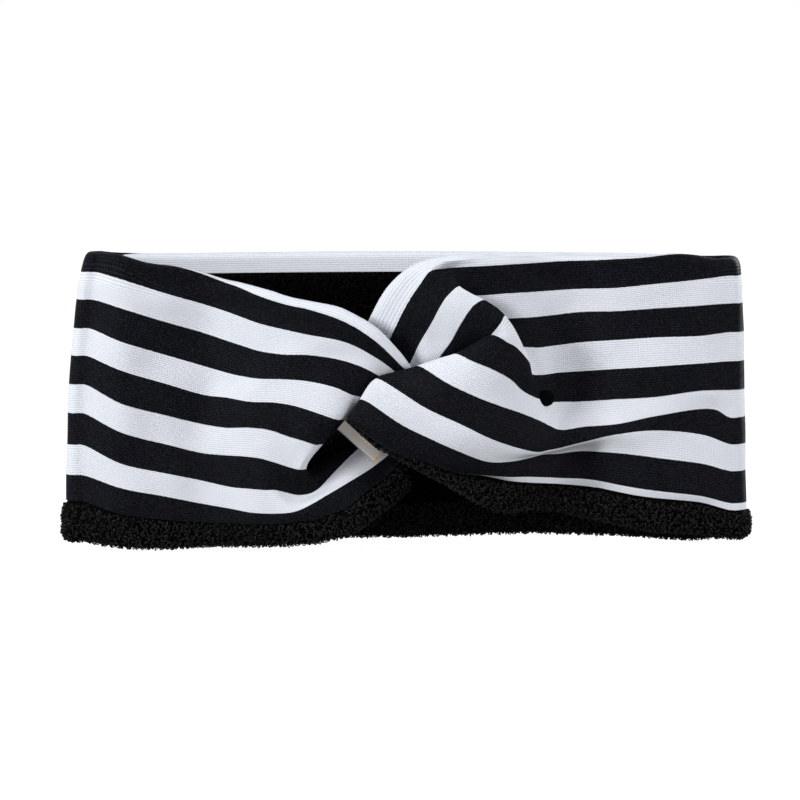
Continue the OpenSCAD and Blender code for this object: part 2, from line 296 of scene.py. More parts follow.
def relief(side, x, forward):
    """How far forward the cloth really lies, with the knot's bulk under it."""
    extra = sum(h * math.exp(-((x - middle) / w) ** 2) for middle, w, h in ROLLS[side])
    if side > 0:
        ramp = ease((RISE_RIGHT - x) / RISE_FADE_RIGHT) * ease((x - RISE_LEFT) / RISE_FADE_LEFT)
        extra += RISE * ramp * min(max(1 - forward / RISE_EVENS_OUT, 0.1), 1.2)
    if forward > 0:
        forward *= 1 + KNOT_SWELL * math.exp(-((x - KNOT_X) / KNOT_REACH) ** 2)
    return forward + extra


def arm_line(side, line):
    """A control line in space: round the side fold, then along the front to the twist."""
    _, z, forward = line[0]
    points = fold_points(side, z, forward)
    points.append((fold_centre_x(side, z), -(FOLD_RADIUS + FOLD_PUFF[side] + forward), z))
    for x, z, forward in line[1:]:
        points.append((x, front_y(x) - relief(side, x, forward), z))
    return np.array(points, float)


TOP_ROLL = 2.4
TOP_PLACES = (SEAM_ACROSS_TOP, -18.0, -16.0, -14.0, -12.0, -10.0, -7.5, -5.0, -2.5)


def over_the_top(past, roll):
    """How far down and how far forward the cloth is, this far past its silhouette."""
    quarter = math.pi * roll / 2
    if past > quarter:
        return roll + past - quarter, -2 * roll
    if past < -quarter:
        return roll - past - quarter, 0.0
    turn = past / roll
    return roll * (1 - math.cos(turn)), -roll * (1 + math.sin(turn))


def top_point(place, top, near, lines, station):
    """A point of the rolled upper edge at one place across the cloth and one station."""
    x, z, forward, edge = top
    seen = lines[-10][station]
    if seen and place >= -10:
        share = place / -10.0
        first, second = np.array(near), np.array(lines[10][station])
        curve = (share**2 + share) / 2 * np.array(seen) + (1 - share**2) * first
        return tuple(curve + (share**2 - share) / 2 * second)
    below = seen or near
    down = unit(np.array([below[0] - x, below[1] - z], float))
    drop, ahead = over_the_top(edge - place, TOP_ROLL)
    if seen and place > edge:
        reach = math.hypot(seen[0] - x, seen[1] - z)
        drop *= reach / over_the_top(edge + 10, TOP_ROLL)[0]
    share = min(max(drop / (TOP_ROLL - edge), 0), 1) if place > edge else 0
    mixed = forward + (near[2] - forward) * share
    return (x + down[0] * drop, z + down[1] * drop, mixed + ahead)


def upper_rows(top, lines):
    """Lines over the rolled upper edge, by their place across the cloth."""
    rows = {}
    for place in TOP_PLACES:
        pairs = enumerate(zip(top, lines[0]))
        rows[place] = [top_point(place, t, near, lines, i) for i, (t, near) in pairs]
    return rows


UNEVEN = 0.45
UNEVEN_WAVES = (34.0, 21.0, 13.0)
WAVES_EACH = 3


def smooth_field(along, across, seed):
    """A gentle, seeded unevenness of cloth, in millimetres."""
    rng = np.random.default_rng(seed)
    total = np.zeros_like(along)
    for wavelength in UNEVEN_WAVES:
        for _ in range(WAVES_EACH):
            angle = rng.uniform(-1.0, 1.0)
            phase = rng.uniform(0, 2 * math.pi)
            wave = along * math.cos(angle) + across * math.sin(angle)
            total += np.sin(wave * 2 * math.pi / wavelength + phase) * wavelength / UNEVEN_WAVES[0]
    return total * UNEVEN / WAVES_EACH


def arm_surface(side, lines, top, per_span, across_step):
    """Grid of points (across, along, 3) and its places across the cloth."""
    every = upper_rows(top, lines)
    every.update({float(place): line for place, line in lines.items() if place >= 0})
    places = sorted(every)
    rows = np.array([along_stations(arm_line(side, every[p]), per_span) for p in places])
    count = int(round((places[-1] - places[0]) / across_step)) + 1
    at = np.linspace(places[0], places[-1], count)
    return through_rows(np.array(places), rows, at), at


TERRY_ROLL = 2.6
TERRY_BULGE = 1.0
LINING_STEPS = 6
LINING_CLEARANCE = 0.5
BEHIND_HOLLOWS = {-1: 4.5, 1: 3.5}
STATIONS_AHEAD = 4
# How far the terry tucks up behind the jersey's edge: (up, behind)
SEAM_TUCK = ((2.0, 1.3), (0.3, 0.7))
# The terry's outside between seam and foot: (share of the way, share of the bulge)
OUTER_SHARES = ((0.3, 0.9), (0.65, 1.0))
FOOT_TURNS = (90, 45, 0, -45, -90)


def deepest(lines, index):
    return min(line[index][2] for line in lines.values() if line[index])


def lining_depth(side, lines, index):
    """How far in front of the plain arc the lining's inner face lies: always behind the jersey."""
    ahead = min(index + STATIONS_AHEAD, len(lines[0])) if side < 0 else index + 1
    hollow = min(deepest(lines, i) for i in range(index, ahead))
    return min(-2 * TOP_ROLL - LINING_CLEARANCE, hollow - BEHIND_HOLLOWS[side])


def terry_lines(side, lines, top, foot):
    """Control lines of an arm's lining, from the lower seam round the foot and up inside."""
    seam = lines[max(lines)]
    inner_end = upper_rows(top, lines)[SEAM_ACROSS_TOP]
    rows = []
    for raise_by, sink in SEAM_TUCK:
        rows.append([(x, z + raise_by, f - sink) for x, z, f in seam])
    for share, bulge in OUTER_SHARES:
        row = []
        for s, t in zip(seam, foot):
            mixed = [a + (b - a) * share for a, b in zip(s, t)]
            row.append((mixed[0], mixed[1] + TERRY_ROLL * share * 0.4, mixed[2] + bulge * TERRY_BULGE))
        rows.append(row)
    for turn in FOOT_TURNS:
        lift = TERRY_ROLL * (1 - math.cos(math.radians(turn)))
        ahead = TERRY_ROLL * (math.sin(math.radians(turn)) - 1) + TERRY_BULGE
        rows.append([(x, z + lift, f + ahead) for x, z, f in foot])
    for step in range(1, LINING_STEPS + 1):
        share = step / LINING_STEPS
        row = []
        for i, (t, u) in enumerate(zip(foot, inner_end)):
            depth = lining_depth(side, lines, i)
            near_end = max(0.0, share * LINING_STEPS - LINING_STEPS + 1)
            forward = depth + (min(u[2] - 0.4, -1) - depth) * near_end
            start = t[1] + TERRY_ROLL
            row.append((t[0] + (u[0] - t[0]) * share, start + (u[1] - start) * share, forward))
        rows.append(row)
    return rows


def terry_surface(side, lines, top, foot, per_span, step):
    """Grid of a lining and the distance down it at its first column."""
    rows = terry_lines(side, lines, top, foot)
    curves = np.array([along_stations(arm_line(side, row), per_span) for row in rows])
    middle = curves.shape[1] // 3
    lengths = np.linalg.norm(np.diff(curves[:, middle], axis=0), axis=1)
    places = np.concatenate([[0], np.cumsum(np.maximum(lengths, 0.2))])
    at = np.linspace(0, places[-1], int(places[-1] / step) + 1)
    return through_rows(places, curves, at), at


# ---------------------------------------------------------------- the back band

# Places along half of the back, from the side fold to the middle, closer together at the seam
BACK_SHARES = np.concatenate([np.linspace(0, 0.96, 66), [0.97, 0.98, 0.988, 0.994, 1.0]])
GROOVE_DEPTH = 0.5
GROOVE_WIDTH = 0.012


def back_grid(side, profile, past=0.0):
    """Sweep a profile of (inset, z) points along half of the back. profile(share) gives it."""
    columns = []
    for share in BACK_SHARES * (1 + past):
        inset, z = profile(min(share, 1.0))
        start = abs(fold_centre_x(side, z))
        x = side * start * (1 - share)
        along = x * FOLD_X / start
        slope = along / BACK_RADIUS
        groove = GROOVE_DEPTH * math.exp(-((1 - share) / GROOVE_WIDTH) ** 2)
        groove = groove * np.clip(1 - inset / TOP_ROLL, 0, 1)
        y = back_y(along) - (inset + groove) * np.sqrt(1 - slope**2)
        columns.append(np.stack([x - inset * slope, y, z], axis=1))
    return np.array(columns).transpose(1, 0, 2)


# Place across the cloth of the upper edge, at the side fold and further along
BACK_EDGE = {-1: (-6.5, -10.5), 1: (-8.0, -10.5)}
EDGE_SETTLES = 0.15
TOP_SAG = 0.3
# Height of the terry's lower edge: X, then height
BACK_FOOT = ((-113, -60, 0, 45, 75, 100, 113), (3.2, 2.0, 2.2, 4.0, 3.6, 2.6, 4.0))
# The lower seam's height and place across the cloth, at the side fold and at the middle
BACK_SEAM = {-1: ((17.4, 79.0), (14.0, 79.0)), 1: ((14.8, 83.5), (14.0, 79.0))}


def mix(pair, share):
    return pair[0] + (pair[1] - pair[0]) * share


def back_facts(side, share):
    """Upper edge's place across, the lower seam's height and its place across."""
    (z_fold, v_fold), (z_mid, v_mid) = BACK_SEAM[side]
    edge = mix(BACK_EDGE[side], min(share / EDGE_SETTLES, 1))
    return edge, mix((z_fold, z_mid), share), mix((v_fold, v_mid), share)


def back_top(share):
    return BAND_TOP - TOP_SAG + TOP_SAG * share


def facing_length(edge):
    """Straight length of the facing inside the loop, from the top roll to the upper seam."""
    return edge - SEAM_ACROSS_TOP - math.pi * TOP_ROLL / 2


def jersey_profile(side, share, rows):
    """Inset and height down the jersey, from the seam inside, over the top, to the lower seam."""
    edge, z_seam, _ = back_facts(side, share)
    top = back_top(share)
    facing = facing_length(edge)
    over = math.pi * TOP_ROLL
    total = facing + over + (top - TOP_ROLL - z_seam)
    s = np.linspace(0, 1, rows) * total
    turn = np.clip((s - facing) / TOP_ROLL, 0, math.pi)
    inset = TOP_ROLL * (1 + np.cos(turn))
    down_inside = np.minimum(s - facing, 0)
    down_outside = np.maximum(s - facing - over, 0)
    return inset, top - TOP_ROLL + TOP_ROLL * np.sin(turn) + down_inside - down_outside


def back_across(side, rows):
    """Place across the cloth for every point of the back's jersey grid."""
    table = []
    for share in BACK_SHARES:
        _, _, seam = back_facts(side, share)
        table.append(np.linspace(SEAM_ACROSS_TOP, seam, rows))
    return np.array(table).T


MEETS_WITHIN = 0.3


def meet_arm(grid, across, arm_grid, arm_across):
    """Bend the start of a back piece so that it runs on from the arm at the side fold."""
    target = [np.interp(across[:, 0], arm_across, arm_grid[:, 0, k]) for k in range(3)]
    shift = np.stack(target, axis=1) - grid[:, 0]
    fade = np.clip(1 - BACK_SHARES / MEETS_WITHIN, 0, 1) ** 2
    return grid + shift[:, None, :] * fade[None, :, None]


BACK_LINING_STEPS = 5
# The back's terry above its foot: (inset, height over the lower seam)
BACK_TERRY_START = ((1.6, 2), (0.8, 0), (-0.6, -3), (-TERRY_BULGE, -6))


def terry_profile(side, share, rows):
    """Inset and height of the lining, from under the lower seam, round the foot, up inside."""
    edge, z_seam, _ = back_facts(side, share)
    lift = np.interp(side * FOLD_X * (1 - share), *BACK_FOOT)
    z_end = back_top(share) - TOP_ROLL - facing_length(edge) + 1.0
    roll = TERRY_ROLL
    points = [(inset, z_seam + height) for inset, height in BACK_TERRY_START]
    for turn in FOOT_TURNS:
        a = math.radians(turn)
        points.append((roll * (1 - math.sin(a)) - TERRY_BULGE, lift + roll * (1 - math.cos(a))))
    foot = points[-1][1]
    deep = 2 * TOP_ROLL + LINING_CLEARANCE
    for step in range(1, BACK_LINING_STEPS + 1):
        points.append((deep, foot + (z_end - foot) * step / BACK_LINING_STEPS))
    points = np.array(points, float)
    lengths = np.linalg.norm(np.diff(points, axis=0), axis=1)
    places = np.concatenate([[0], np.cumsum(lengths)])
    curve = hermite(places, points, np.linspace(0, places[-1], rows))
    return curve[:, 0], curve[:, 1]


# ---------------------------------------------------------------- meshes


def mesh_from(name, vertices, quads, uvs=None):
    """A smooth mesh object from millimetre vertices and quads; uvs holds one pair per vertex."""
    quads = np.asarray(quads, dtype=np.int32)
    mesh = bpy.data.meshes.new(name)
    mesh.vertices.add(len(vertices))
    mesh.vertices.foreach_set("co", (np.asarray(vertices, float) * MM).ravel())
    mesh.loops.add(quads.size)
    mesh.loops.foreach_set("vertex_index", quads.ravel())
    mesh.polygons.add(len(quads))
    mesh.polygons.foreach_set("loop_start", np.arange(0, quads.size, 4, dtype=np.int32))
    mesh.update(calc_edges=True)
    mesh.validate()
    if uvs is not None:
        layer = mesh.uv_layers.new(name="cloth")
        index = np.empty(len(mesh.loops), dtype=np.int32)
        mesh.loops.foreach_get("vertex_index", index)
        layer.data.foreach_set("uv", np.asarray(uvs, float)[index].ravel())
    mesh.polygons.foreach_set("use_smooth", np.ones(len(mesh.polygons), dtype=bool))
    piece = bpy.data.objects.new(name, mesh)
    bpy.context.collection.objects.link(piece)
    return piece


SHARP_EDGE = math.radians(50)


def sheet_from_grid(name, grid, across, thickness, outward):
    """A closed cloth: the grid is its outer face, and it has this thickness inwards."""
    rows, count, _ = grid.shape
    inner = grid - normals_of(grid) * outward * thickness
    vertices = np.concatenate([grid.reshape(-1, 3), inner.reshape(-1, 3)])
    across = np.broadcast_to(across if np.ndim(across) == 2 else across[:, None], (rows, count))
    uv = np.stack([arc_lengths(grid), across], axis=2).reshape(-1, 2)
    index = np.arange(rows * count).reshape(rows, count)
    outer = np.stack([index[:-1, :-1], index[:-1, 1:], index[1:, 1:], index[1:, :-1]], axis=2)
    outer = outer.reshape(-1, 4)
    if outward < 0:
        outer = outer[:, ::-1]
    faces = [outer, outer[:, ::-1] + rows * count]
    rim = np.concatenate([index[0, :], index[1:, -1], index[-1, -2::-1], index[-2:0:-1, 0]])
    following = np.roll(rim, -1)
    wall = np.stack([following, rim, rim + rows * count, following + rows * count], axis=1)
    faces.append(wall if outward > 0 else wall[:, ::-1])
    piece = mesh_from(name, vertices, np.concatenate(faces), np.concatenate([uv, uv]))
    piece.data.set_sharp_from_angle(angle=SHARP_EDGE)
    return piece


TUBE_SIDES = 4


def tubes(name, paths, radii, reference):
    """Many short closed tubes in one mesh. paths is (tube, ring, 3), reference is (tube, 3)."""
    count, rings, _ = paths.shape
    along = unit(np.gradient(paths, axis=1))
    side = unit(np.cross(along, reference[:, None, :]))
    up = np.cross(side, along)
    turns = np.arange(TUBE_SIDES) * 2 * math.pi / TUBE_SIDES
    ring = np.cos(turns)[:, None] * side[:, :, None, :] + np.sin(turns)[:, None] * up[:, :, None, :]
    vertices = paths[:, :, None, :] + ring * np.asarray(radii)[None, :, None, None]
    one = []
    for k in range(rings - 1):
        for j in range(TUBE_SIDES):
            nxt = (j + 1) % TUBE_SIDES
            a, b = k * TUBE_SIDES, (k + 1) * TUBE_SIDES
            one.append((a + j, a + nxt, b + nxt, b + j))
    last = (rings - 1) * TUBE_SIDES
    one.append((3, 2, 1, 0))
    one.append((last, last + 1, last + 2, last + 3))
    offsets = np.arange(count)[:, None, None] * rings * TUBE_SIDES
    quads = (np.array(one)[None] + offsets).reshape(-1, 4)
    return mesh_from(name, vertices.reshape(-1, 3), quads)


LOOP_RINGS = 5
LOOP_LEAN = 0.35
LOOP_SIZES = (0.65, 1.3)
# As shares of the pitch
LOOP_HALF_WIDTH = 0.42
LOOP_SWAY = 0.3
LOOP_RADII = (0.16, 0.19, 0.2, 0.19, 0.16)
LOOP_SUNK = 0.25


def terry_loops(name, grid, outward, pitch, height, seed):
    """Towelling loops standing all over a grid, about one in every square of the pitch."""
    rng = np.random.default_rng(seed)
    normal = normals_of(grid) * outward
    a, b = grid[:-1, :-1], grid[1:, 1:]
    du, dv = grid[:-1, 1:] - a, grid[1:, :-1] - a
    area = np.linalg.norm(np.cross(du, dv), axis=2)
    number = np.floor(area / pitch**2 + rng.random(area.shape)).astype(int)
    rows, columns = np.nonzero(number)
    repeat = number[rows, columns]
    rows, columns = np.repeat(rows, repeat), np.repeat(columns, repeat)
    count = len(rows)
    u, v = rng.random((2, count, 1))
    place = a[rows, columns] + du[rows, columns] * u + dv[rows, columns] * v
    skew = b[rows, columns] - a[rows, columns] - du[rows, columns] - dv[rows, columns]
    place = place + skew * u * v
    up = unit(normal[rows, columns] + rng.normal(0, LOOP_LEAN, (count, 3)))
    across = unit(np.cross(up, rng.normal(0, 1, (count, 3))))
    other = np.cross(up, across)
    size = rng.uniform(*LOOP_SIZES, (count, 1, 1))
    t = np.linspace(0, math.pi, LOOP_RINGS)
    x = (LOOP_HALF_WIDTH * pitch * np.cos(t))[None, :, None] * size
    z = (height * np.sin(t) ** 0.8 - LOOP_SUNK)[None, :, None] * size
    sway = (LOOP_SWAY * pitch * np.sin(t))[None, :, None] * rng.normal(0, 1, (count, 1, 1))
    curve = place[:, None] + across[:, None] * x + up[:, None] * z + other[:, None] * sway
    return tubes(name, curve, np.array(LOOP_RADII) * pitch, other)


STITCH_SHAPE = (0.05, 0.75, 1.0, 0.75, 0.05)


def stitches(name, path, normal, length, gap, radius):
    """A row of thread stitches along a path, each one a small tapered bead."""
    steps = np.linalg.norm(np.diff(path, axis=0), axis=1)
    places = np.concatenate([[0], np.cumsum(steps)])
    starts = np.arange(gap, places[-1] - length, length + gap)
    at = starts[:, None] + np.linspace(0, length, len(STITCH_SHAPE))[None, :]
    curve = np.stack([np.interp(at, places, path[:, k]) for k in range(3)], axis=2)
    middle = at[:, 2]
    up = np.stack([np.interp(middle, places, normal[:, k]) for k in range(3)], axis=1)
    return tubes(name, curve, np.array(STITCH_SHAPE) * radius, unit(up))


# ---------------------------------------------------------------- materials


class Nodes:
    """Short calls for building a material's node tree."""

    def __init__(self, name, roughness, specular=0.5):
        self.material = bpy.data.materials.new(name)
        self.material.use_nodes = True
        self.tree = self.material.node_tree
        self.shader = self.tree.nodes["Principled BSDF"]
        self.shader.inputs["Roughness"].default_value = roughness
        self.shader.inputs["Specular IOR Level"].default_value = specular

    def add(self, kind, **settings):
        node = self.tree.nodes.new(kind)
        for key, value in settings.items():
            setattr(node, key, value)
        return node

    def link(self, output, target):
        self.tree.links.new(output, target)

    def math(self, operation, a, b=None):
        node = self.add("ShaderNodeMath", operation=operation)
        for socket, value in zip(node.inputs, (a, b)):
            if isinstance(value, (int, float)):
                socket.default_value = value
            elif value is not None:
                self.link(value, socket)
        return node.outputs[0]

    def step(self, value, low, high):
        node = self.add("ShaderNodeMapRange", interpolation_type="SMOOTHSTEP")
        self.link(value, node.inputs["Value"])
        node.inputs["From Min"].default_value = low
        node.inputs["From Max"].default_value = high
        return node.outputs["Result"]

    def mix(self, factor, a, b):
        node = self.add("ShaderNodeMix", data_type="RGBA")
        self.link(factor, node.inputs["Factor"])
        for socket, value in ((node.inputs[6], a), (node.inputs[7], b)):
            if isinstance(value, tuple):
                socket.default_value = (*value, 1)
            else:
                self.link(value, socket)
        return node.outputs[2]

    def noise(self, vector, scale, detail=2.0):
        node = self.add("ShaderNodeTexNoise")
        self.link(vector, node.inputs["Vector"])
        node.inputs["Scale"].default_value = scale
        node.inputs["Detail"].default_value = detail
        return node.outputs["Fac"]

    def place(self):
        return self.add("ShaderNodeTexCoord").outputs["Object"]

    def cloth_place(self):
        uv = self.add("ShaderNodeUVMap", uv_map="cloth")
        split = self.add("ShaderNodeSeparateXYZ")
        self.link(uv.outputs["UV"], split.inputs[0])
        return split.outputs["X"], split.outputs["Y"]

    def bump(self, height, strength, distance):
        node = self.add("ShaderNodeBump")
        node.inputs["Strength"].default_value = strength
        node.inputs["Distance"].default_value = distance
        self.link(height, node.inputs["Height"])
        self.link(node.outputs["Normal"], self.shader.inputs["Normal"])

    def colour(self, output):
        self.link(output, self.shader.inputs["Base Color"])


def scaled(colour, share):
    return tuple(share * c for c in colour)


WHITE_JERSEY = (0.70, 0.725, 0.79)
BLACK_JERSEY = (0.0024, 0.0026, 0.0035)
RIB_PITCH = 0.78
STITCH_PITCH = 0.74


def jersey_material():
    """Printed stripes on a fine ribbed knit with a satin sheen, painted shade in the rib grooves and
    painted glints on the black.
    """
    n = Nodes("striped_jersey", 0.42, 0.02)
    n.shader.inputs["Sheen Weight"].default_value = 0.05
    n.shader.inputs["Sheen Roughness"].default_value = 0.3
    n.shader.inputs["Sheen Tint"].default_value = (0.7, 0.8, 1.0, 1)
    along, across = n.cloth_place()
    place = n.place()
    wobble = n.math("MULTIPLY", n.math("SUBTRACT", n.noise(place, 900, 1), 0.5), 0.2)
    shifted = n.math("ADD", n.math("ADD", across, wobble), 10.5 * STRIPE)
    phase = n.math("MODULO", shifted, 2 * STRIPE)
    off_centre = n.math("ABSOLUTE", n.math("SUBTRACT", phase, STRIPE))
    black = n.step(off_centre, STRIPE / 2 - 0.1, STRIPE / 2 + 0.1)
    rib = n.math("SINE", n.math("MULTIPLY", across, 2 * math.pi / RIB_PITCH))
    turn = n.math("MULTIPLY", along, 2 * math.pi / STITCH_PITCH)
    stitch = n.math("SINE", n.math("ADD", turn, n.math("MULTIPLY", rib, 1.2)))
    grain = n.noise(place, 2600, 2)
    knit = n.math("ADD", n.math("MULTIPLY", rib, 0.6), n.math("MULTIPLY", stitch, 0.4))
    height = n.math("ADD", knit, n.math("MULTIPLY", grain, 1.4))
    # The white is darker where knit and grain sit low: painted shade in the rib grooves, over random
    # grain tone.
    white = n.mix(n.step(height, -0.4, 1.5), scaled(WHITE_JERSEY, 0.76), WHITE_JERSEY)
    # The black brightens up to eightfold on high grain and knit: painted glints on the black knit.
    grain_and_glints = n.math("ADD", n.math("MULTIPLY", knit, 0.12), grain)
    dark = n.mix(n.step(grain_and_glints, 0.42, 0.8), BLACK_JERSEY, scaled(BLACK_JERSEY, 8))
    n.colour(n.mix(black, white, dark))
    n.bump(height, 0.6, 0.00013)
    return n.material


TERRY_PILE = (0.0035, 0.0035, 0.0038)
TERRY_TIP_HIGHLIGHT = (0.024, 0.024, 0.026)


def terry_material(name, share):
    """Black looped towelling whose loop tips are a lighter grey as a painted highlight; share scales
    the colour down as painted shade and dims the specular and sheen.
    """
    n = Nodes(name, 0.7, 0.09 * share)
    n.shader.inputs["Sheen Weight"].default_value = 0.05 * share
    n.shader.inputs["Sheen Roughness"].default_value = 0.5
    tips = n.noise(n.place(), 700, 3)
    # Lighter grey on the loop tips: painted highlight.
    n.colour(n.mix(n.step(tips, 0.4, 0.8), scaled(TERRY_PILE, share), scaled(TERRY_TIP_HIGHLIGHT, share)))
    n.bump(tips, 0.8, 0.0006)
    return n.material


def thread_material():
    n = Nodes("black_thread", 0.5, 0.2)
    twist = n.noise(n.place(), 3000, 1)
    n.colour(n.mix(n.step(twist, 0.3, 0.7), (0.003, 0.003, 0.0035), (0.012, 0.012, 0.013)))
    n.bump(twist, 0.5, 0.0001)
    return n.material


SATIN = (0.26, 0.243, 0.225)
ORANGE = (0.62, 0.30, 0.03)


def satin_material():
    """Cream woven satin; its UV runs 0..1 along the seam and 0..1 down the front to the fold."""
    n = Nodes("label_satin", 0.3, 0.9)
    along, across = n.cloth_place()
    lines = n.math("SINE", n.math("MULTIPLY", across, 45.0))
    grain = n.noise(n.place(), 2500, 2)
    height = n.math("ADD", n.math("MULTIPLY", lines, 0.5), grain)
    # Painted shade at the label's upper-left end, brightening to a painted highlight at its
    # lower-right end.
    painted_shade_to_highlight = n.mix(n.step(along, 0.1, 1.0), scaled(SATIN, 0.65), scaled(SATIN, 1.6))
    # Darker where the weave lines and grain sit low: painted shade in the weave's grooves.
    body = n.mix(n.step(height, -0.2, 1.2), scaled(SATIN, 0.5), painted_shade_to_highlight)
    dash_phase = n.math("MODULO", n.math("MULTIPLY", along, 13.0), 1.0)
    dash = n.math("MULTIPLY", n.step(dash_phase, 0.5, 0.55), n.step(along, 0.42, 0.44))
    dash = n.math("MULTIPLY", dash, n.step(along, 0.74, 0.72))
    dash = n.math("MULTIPLY", dash, n.step(across, 0.19, 0.2))
    dash = n.math("MULTIPLY", dash, n.step(across, 0.27, 0.26))
    marked = n.mix(dash, body, ORANGE)
    cut = n.step(along, 0.975, 0.985)
    n.colour(n.mix(cut, marked, scaled(ORANGE, 0.6)))
    n.bump(height, 0.4, 0.00006)
    return n.material


def stud_material():
    n = Nodes("matte_black", 0.8, 0.02)
    grain = n.noise(n.place(), 1800, 2)
    n.colour(n.mix(n.step(grain, 0.3, 0.7), (0.0008, 0.0008, 0.0009), (0.0018, 0.0018, 0.002)))
    n.bump(grain, 0.3, 0.00005)
    return n.material


jersey = jersey_material()
terry = terry_material("black_terry", 1.0)
# A copy of the terry with its colour scaled to 0.14: painted shade for the lining's base sheets and
# inside loops.
terry_painted_shade = terry_material("black_terry_pressed", 0.14)
thread = thread_material()
satin = satin_material()
matte_black = stud_material()

# ---------------------------------------------------------------- pieces


def dress(piece, material):
    piece.data.materials.append(material)
    return piece


ARMS = {
    "left": (-1, LEFT_LINES, LEFT_TOP, LEFT_FOOT),
    "right": (1, RIGHT_LINES, RIGHT_TOP, RIGHT_FOOT),
}
PER_SPAN = 8
LOOP_PITCH = 0.98
LOOP_HEIGHT = 1.0
LINING_PITCH = 1.7


def ride_front(piece):
    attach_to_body(piece, "front")


def bend_back(piece):
    """Bake a back piece's placement into its mesh."""
    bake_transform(piece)


def add_loops(name, grid, outward, visible_rows, attach, seed):
    """Fine loops on the first rows, round the foot, and larger ones up the inside."""
    foot = terry_loops(name + "_foot", grid[:visible_rows], outward, LOOP_PITCH, LOOP_HEIGHT, seed)
    inside = terry_loops(name + "_inside", grid[visible_rows - 1:-2], outward, LINING_PITCH,
                         LOOP_HEIGHT, seed + 1)
    attach(dress(foot, terry))
    # The inside loops get the darkened terry: painted shade.
    attach(dress(inside, terry_painted_shade))


def seam_row(name, grid, row, outward, attach, node):
    path = grid[row]
    normal = normals_of(grid)[row] * outward
    piece = stitches(name, path - normal * 0.25, normal, 2.0, 0.9, 0.25)
    attach(dress(piece, thread))
    if node:
        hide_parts(node)
    return piece


TERRY_STEP = 0.9
UNDER_SEAM_ROWS = 4
FOOT_ROWS = 28
EVEN_AT_FOLD = 20
UNEVEN_SEED = 5
ARM_LOOPS_SEED = 11
BACK_LOOPS_SEED = 31
JERSEY_ROWS = 110
TERRY_ROWS = 120
# How far a back lining runs past the middle, so that no gap shows
PAST_MIDDLE = 0.006


def build_arm(arm):
    side, lines, top, foot = ARMS[arm]
    grid, across = arm_surface(side, lines, top, PER_SPAN, 1.0)
    along = arc_lengths(grid)
    uneven = smooth_field(along, across[:, None] + 0 * along, UNEVEN_SEED + side)
    edge = np.minimum(along / EVEN_AT_FOLD, 1)
    grid = grid + normals_of(grid) * (uneven * edge * side)[..., None]
    piece = sheet_from_grid("jersey_arm_" + arm, grid, across, JERSEY_THICK, side)
    ride_front(dress(piece, jersey))
    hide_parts("jersey_%s_arm" % arm)
    lining, down = terry_surface(side, lines, top, foot, PER_SPAN, TERRY_STEP)
    base = sheet_from_grid("terry_arm_" + arm, lining, down, TERRY_THICK, side)
    # The lining's base sheet gets the darkened terry: painted shade.
    ride_front(dress(base, terry_painted_shade))
    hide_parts("terry_%s_arm" % arm)
    seed = ARM_LOOPS_SEED + side
    add_loops("terry_loops_arm_" + arm, lining[UNDER_SEAM_ROWS:], side, FOOT_ROWS, ride_front, seed)
    seam_row("lower_seam_arm_" + arm, grid, -1, side, ride_front, "lower_seam_%s_arm" % arm)
    seam_row("upper_seam_arm_" + arm, grid, 0, side, ride_front, "upper_seam_%s_arm" % arm)
    return grid, across


def build_back(half, side, arm_grid, arm_across):
    across = back_across(side, JERSEY_ROWS)
    grid = back_grid(side, lambda share: jersey_profile(side, share, JERSEY_ROWS))
    grid = meet_arm(grid, across, arm_grid, arm_across)
    piece = sheet_from_grid("jersey_behind_" + half, grid, across, JERSEY_THICK, -side)
    bend_back(dress(piece, jersey))
    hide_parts("jersey_back_" + half)
    lining = back_grid(side, lambda share: terry_profile(side, share, TERRY_ROWS), PAST_MIDDLE)
    down = np.linspace(0, 1, TERRY_ROWS)
    base = sheet_from_grid("terry_behind_" + half, lining, down, TERRY_THICK, -side)
    # The lining's base sheet gets the darkened terry: painted shade.
    bend_back(dress(base, terry_painted_shade))
    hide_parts("terry_back_" + half)
    seed = BACK_LOOPS_SEED + side
    add_loops("terry_loops_back_" + half, lining[UNDER_SEAM_ROWS:], -side, FOOT_ROWS, bend_back, seed)
    lower = "lower_seam_back" if side < 0 else None
    upper = "upper_seam_back" if side < 0 else None
    seam_row("lower_seam_back_" + half, grid, -1, -side, bend_back, lower)
    seam_row("upper_seam_back_" + half, grid, 0, -side, bend_back, upper)


arm_grids = {}
for arm in ARMS:
    arm_grids[arm], across = build_arm(arm)
    build_back(arm, ARMS[arm][0], arm_grids[arm], across)


def centre_back():
    """The closing seam at the middle of the back: a row of stitches down the outside."""
    z = np.linspace(BAND_TOP - 2, 3, 60)
    path = np.stack([np.zeros_like(z), np.full_like(z, back_y(0.0) + 0.05), z], axis=1)
    normal = np.tile([0.0, 1.0, 0.0], (len(z), 1))
    piece = stitches("centre_back_stitches", path, normal, 2.0, 0.9, 0.3)
    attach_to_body(dress(piece, thread), "back")
    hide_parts("centre_back_seam")


centre_back()

# ---------------------------------------------------------------- label and stud

LABEL_SLOPE = math.radians(42)
LABEL_LENGTH = 17.0
LABEL_START = 0.45
LABEL_DROP = 4.2
LABEL_HALF_GAP = 0.42
LABEL_CLOTH = 0.16
LABEL_PUFF = 0.9
LABEL_CURL = 0.011


def label_frame():
    """Middle of the label's seam line and its directions: along the seam, down, and outwards."""
    low, high = node_box("label_stitching")
    along = np.array([math.cos(LABEL_SLOPE), 0, -math.sin(LABEL_SLOPE)])
    down = np.array([-math.sin(LABEL_SLOPE), 0, -math.cos(LABEL_SLOPE)])
    return (low + high) / 2, along, down, np.array([0, -1.0, 0])


